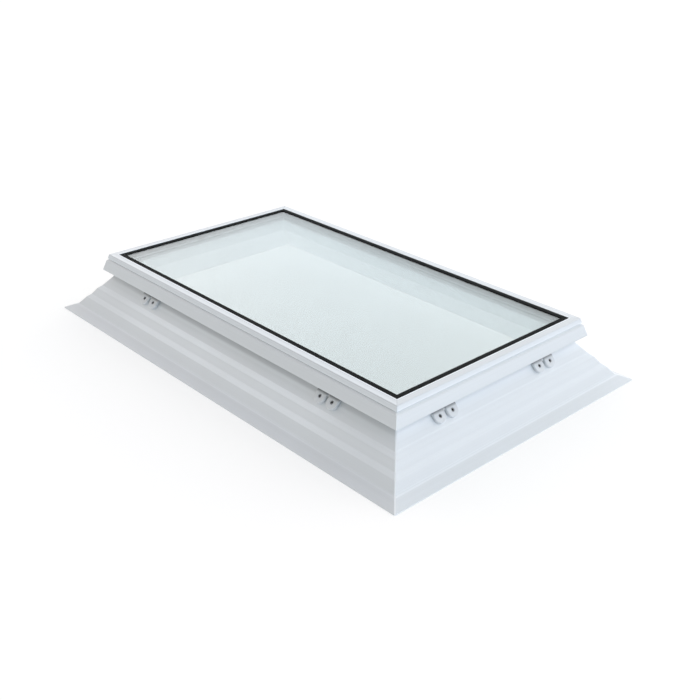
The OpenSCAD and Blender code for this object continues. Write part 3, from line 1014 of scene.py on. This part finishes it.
# Heights between which painted shade darkens the clip where it goes up under the skirt
under_skirt = (0.1215, 0.1290)
# Painted shade darkens the flanks this far up from the wall, and deepens between these heights
flank_shade_reach = 0.006
flank_heights = (0.097, 0.112)
# Painted shade fills the recess of each lobe, within this radius and this far up from the wall
recess_radius = 0.0058
recess_rim = 0.008
# The upstand wall that the clips lie on: the range of u on its slope, and the heights of the
# slope's top and of the first ridge
wall_u = (0.015, 0.06)
wall_top_z = 0.13
ridge_z = 0.0876


def welded_copy(name, node, crease, material):
    """A copy of a CAD piece with its faces joined up and its rounded rims shaded smooth."""
    solid = joined_up(cad[node].data)
    bmesh.ops.dissolve_limit(solid, angle_limit=same_plane, verts=solid.verts, edges=solid.edges)
    mesh = mesh_of(solid, name)
    mesh.materials.append(material)
    # foot and recess mark where the clip's material paints shade: on the flanks close to the wall
    # and in the recesses of the lobes
    mesh.attributes.new("foot", "FLOAT", "POINT")
    mesh.attributes.new("recess", "FLOAT", "POINT")
    for i, v in enumerate(mesh.vertices):
        out = max(abs(v.co.x) - half_l, abs(v.co.y) - half_w)
        off_wall = (Vector((out, v.co.z)) - wall_top).dot(wall_normal)
        mesh.attributes["foot"].data[i].value = 1 - off_wall / flank_shade_reach
        sunk = off_wall < recess_rim and any(
            (v.co - seat).cross(axis).length < recess_radius for seat, axis, *_ in places
        )
        mesh.attributes["recess"].data[i].value = float(sunk)
    piece = new_piece(name, mesh)
    smooth_edges(piece, crease)
    return piece


def screw_places():
    """For each CAD screw: the seat of its head, its direction, length, head radius and height."""
    solid = joined_up(cad["clip_screws"].data)
    left = set(solid.verts)
    found = []
    while left:
        island = {left.pop()}
        edge = list(island)
        while edge:
            near = {e.other_vert(v) for v in edge for e in v.link_edges} - island
            island |= near
            edge = list(near)
        left -= island
        points = np.array([v.co for v in island])
        middle = points.mean(0)
        spread = np.linalg.eigh(np.cov((points - middle).T))
        axis = spread[1][:, -1] * (1 if spread[1][2, -1] > 0 else -1)
        height = (points - middle) @ axis
        across = np.linalg.norm((points - middle) - np.outer(height, axis), axis=1)
        head = height[across > 0.9 * across.max()]
        seat = Vector(middle + axis * head.min())
        shank = head.min() - height.min()
        found.append((seat, Vector(axis), shank, across.max(), height.max() - head.min()))
    solid.free()
    return sorted(found, key=lambda s: tuple(round(c, 4) for c in s[0]))


places = screw_places()
slope = [
    Vector(v.co.yz) for v in upstand_section.vertices if wall_u[0] < v.co.y < wall_u[1]
]
wall_top = max((p for p in slope if p.y < wall_top_z), key=lambda p: p.y)
wall_end = min(slope, key=lambda p: abs(p.y - ridge_z))
wall_normal = Vector((wall_top.y - wall_end.y, wall_end.x - wall_top.x)).normalized()
nylon = moulded_plastic(
    "clip_nylon", clip_white, roughness=0.3, grain=0.15, painted_shade=(under_skirt, flank_heights)
)
for node in [name for name in cad if name.startswith("clip_") and name != "clip_screws"]:
    piece = welded_copy("moulded_" + node, node, clip_crease, nylon)
    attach(piece, "root")
    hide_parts(node)

# --- Screws ---
# Sixteen zinc-plated steel pan-head screws with a hexagon socket, painted dark in and round the
# socket as shade. Each sits in the recess of a lobe and bites into the outer skin of the upstand.

screw_sides = 36
shank_radius = 0.0024
thread_pitch = 0.0018
thread_depth = 0.00055
zinc = (0.88, 0.89, 0.90)
socket_shade_black = (0.012, 0.012, 0.012)
# How strongly painted shade darkens the first rings of a screw, in and round its socket: 1 is fully
# dark
socket_depths = (1.0, 1.0, 1.0, 0.5, 0.5)


def ring_radius(form, radius, angle):
    """Radius of a ring at an angle: six-sided with its corners at that radius, or round."""
    if form != "hexagon":
        return radius
    sixth = math.pi / 3
    return radius * math.cos(sixth / 2) / math.cos(angle % sixth - sixth / 2)


def screw_mesh(length, head_r, head_h):
    """A screw as a stack of rings from the floor of its socket, over the head, to its tip.
    z = 0 is the seat of the head."""
    socket_r = head_r * 0.70
    socket_rim = socket_r * 1.07
    dome = [math.radians(a) for a in range(15, 91, 15)]
    rings = [
        ("hexagon", socket_r * 0.9, head_h * 0.10),
        ("hexagon", socket_r, head_h * 0.16),
        ("hexagon", socket_r, head_h * 0.93),
        ("hexagon", socket_rim, head_h),
    ]
    brim = head_r - socket_rim
    rings += [
        ("round", socket_rim + brim * math.sin(a), head_h * (0.25 + 0.75 * math.cos(a)))
        for a in dome
    ]
    rings += [("round", head_r, head_h * 0.12), ("round", head_r - head_h * 0.12, 0.0)]
    rings += [("round", shank_radius + 0.0004, 0.0), ("round", shank_radius, -0.0004)]
    point = length - 2 * shank_radius
    turns = int((point - 0.003) / thread_pitch)
    levels = [-0.002 - i * thread_pitch / 6 for i in range(turns * 6)]
    rings += [("thread", shank_radius, z) for z in levels]
    rings += [("round", shank_radius * 0.8, -point), ("round", shank_radius * 0.1, -length)]
    screw = bmesh.new()
    rows = []
    for form, radius, z in rings:
        row = []
        for i in range(screw_sides):
            angle = 2 * math.pi * i / screw_sides
            r = ring_radius(form, radius, angle)
            if form == "thread":
                turn = (z / thread_pitch + i / screw_sides) % 1
                r += thread_depth * (max(0, 1 - abs(turn - 0.5) * 4) - 1)
            row.append(screw.verts.new((r * math.cos(angle), r * math.sin(angle), z)))
        rows.append(row)
    for row, below in zip(rows, rows[1:]):
        for i in range(screw_sides):
            j = (i + 1) % screw_sides
            screw.faces.new((row[i], row[j], below[j], below[i]))
    screw.faces.new(rows[0])
    screw.faces.new(rows[-1])
    bmesh.ops.recalc_face_normals(screw, faces=screw.faces)
    mesh = mesh_of(screw, "screw_pattern")
    deep = mesh.attributes.new("deep", "FLOAT", "POINT")
    for i, depth in enumerate(socket_depths):
        for item in deep.data[i * screw_sides : (i + 1) * screw_sides]:
            item.value = depth
    return mesh


def screw_tree():
    """Puts a screw on each point, along the direction that the point holds."""
    tree, given, made = new_group(
        "Screws on points",
        "GeometryNodeTree",
        {"Points": "Geometry", "Screw": "Object", "Seed": "Int", "Finish": "Material"},
        {"Screws": "Geometry"},
    )
    pattern = add(tree, "GeometryNodeObjectInfo", {"Object": given["Screw"]}).outputs["Geometry"]
    turned = add(
        tree,
        "FunctionNodeRandomValue",
        {"Max": math.pi / 3, "Seed": given["Seed"]},
        data_type="FLOAT",
    ).outputs["Value"]
    spin = add(
        tree, "FunctionNodeAxisAngleToRotation", {"Axis": (0, 0, 1), "Angle": turned}
    ).outputs[0]
    return set_on_points(tree, given, pattern, "axis", made, spin)


def zinc_plate(name, colour, shade_colour):
    """Zinc-plated steel: a slight spangle of tone and gloss, and painted shade down in the socket.
    """
    material, tree, shader, place = new_material(name)
    patch = mottled(tree, place, per_metre=500.0, contrast=1.6)
    toned = blend_colour(tree, patch, colour, scaled(colour, 0.82))
    deep = attribute(tree, "deep")["Fac"]
    plated = map_range(tree, patch, to=(0.18, 0.30))
    rough = calc(tree, "MULTIPLY_ADD", deep, 0.6, plated)
    # Painted shade in and round the socket
    paint(tree, shader, blend_colour(tree, deep, toned, shade_colour), rough)
    tree.links.new(calc(tree, "SUBTRACT", 1.0, deep), shader.inputs["Metallic"])
    emboss(tree, shader, patch, strength=0.12, distance=0.0001)
    return material


screw_length, head_radius, head_height = places[0][2:]
pattern = bpy.data.objects.new("screw_pattern", screw_mesh(screw_length, head_radius, head_height))
screws = run_tree(
    "clip_screw_set",
    points_with_direction("screw_points", [p[0] for p in places], [p[1] for p in places], "axis"),
    screw_tree(),
    {"Screw": pattern, "Seed": 7, "Finish": zinc_plate("zinc_plated_steel", zinc, socket_shade_black)},
)
bpy.data.objects.remove(pattern)
smooth_edges(screws, crease=35)
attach(screws, "root")
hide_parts("clip_screws")

# --- Studio ---
# A pale floor, a bright dome with its strongest lights behind the window, one softbox and the
# camera.

floor_size = 60.0
# The floor is a lit sheet, so that its shadows stay faint
floor_white = (0.5, 0.5, 0.5)
floor_glow = (0.545, 0.545, 0.54)


def pale_floor(name):
    """Matt white studio floor with a trace of unevenness."""
    matt = {"Roughness": 0.9, "Specular IOR Level": 0.1}
    lit = {"Emission Color": (*floor_glow, 1), "Emission Strength": 1.0}
    material, tree, shader, place = new_material(name, matt | lit)
    patch = mottled(tree, place, per_metre=0.6, contrast=1.0)
    toned = blend_colour(tree, patch, floor_white, scaled(floor_white, 0.995))
    tree.links.new(toned, shader.inputs["Base Color"])
    return material


floor_mesh = bpy.data.meshes.new("studio_floor")
corner = floor_size / 2
floor_mesh.from_pydata(
    [(-corner, -corner, 0), (corner, -corner, 0), (corner, corner, 0), (-corner, corner, 0)],
    [],
    [(0, 1, 2, 3)],
)
floor_mesh.materials.append(pale_floor("studio_floor_white"))
floor = new_piece("studio_floor", floor_mesh)

# The dome: an even level, and broad soft lights at a compass direction and a height in degrees
dome_level = (0.468, 0.478, 0.452)
dome_spread = 6.0
dome_lights = (
    (0, 10, (0.51, 0.79, 1.22)),
    (45, 10, (1.10, 0.99, 0.96)),
    (90, 10, (1.94, 1.85, 1.78)),
    (135, 10, (0.34, 0.52, 0.67)),
    (180, 10, (1.43, 1.17, 0.92)),
    (180, 42, (0.36, 0.32, 0.48)),
)

world = bpy.data.worlds.new("studio_dome")
bpy.context.scene.world = world
world.use_nodes = True
sky = world.node_tree
sky.nodes.clear()
toward = add(sky, "ShaderNodeTexCoord").outputs["Generated"]
glow = vector(sky, *dome_level)
for compass, height, colour in dome_lights:
    flat = math.cos(math.radians(height))
    lamp_way = (
        flat * math.cos(math.radians(compass)),
        flat * math.sin(math.radians(compass)),
        math.sin(math.radians(height)),
    )
    facing = add(sky, "ShaderNodeVectorMath", {0: toward, 1: lamp_way}, operation="DOT_PRODUCT")
    fall = calc(sky, "MULTIPLY_ADD", facing.outputs["Value"], dome_spread, -dome_spread)
    lit = add(
        sky,
        "ShaderNodeVectorMath",
        {0: colour, "Scale": calc(sky, "EXPONENT", fall)},
        operation="SCALE",
    ).outputs[0]
    glow = vector_calc(sky, "ADD", glow, lit)
background = add(sky, "ShaderNodeBackground", {"Color": glow})
add(sky, "ShaderNodeOutputWorld", {"Surface": background.outputs[0]})

softbox_light = bpy.data.lights.new("softbox", "AREA")
softbox_light.shape = "RECTANGLE"
softbox_light.size = 3.0
softbox_light.size_y = 2.0
softbox_light.energy = 3
softbox = new_piece("softbox", softbox_light)
softbox.location = (3.5, 1.5, 3.0)
softbox.rotation_euler = (-softbox.location).to_track_quat("-Z", "Y").to_euler()

# The camera stands to the front right, above the window, and looks down at it
camera_azimuth = 47.108
camera_elevation = 26.898
camera_roll = 0.423
camera_place = (2.1203, -1.8758, 1.4042)
camera_lens = 50.476
sensor_width = 36.0
far_end = 200.0

camera_data = bpy.data.cameras.new("camera")
camera_data.lens = camera_lens
camera_data.sensor_width = sensor_width
camera_data.clip_end = far_end
camera = new_piece("camera", camera_data)
camera.matrix_world = (
    Matrix.Translation(camera_place)
    @ Matrix.Rotation(math.radians(camera_azimuth), 4, "Z")
    @ Matrix.Rotation(math.radians(90 - camera_elevation), 4, "X")
    @ Matrix.Rotation(math.radians(camera_roll), 4, "Z")
)
bpy.context.scene.camera = camera
bpy.context.scene.view_settings.view_transform = "Standard"
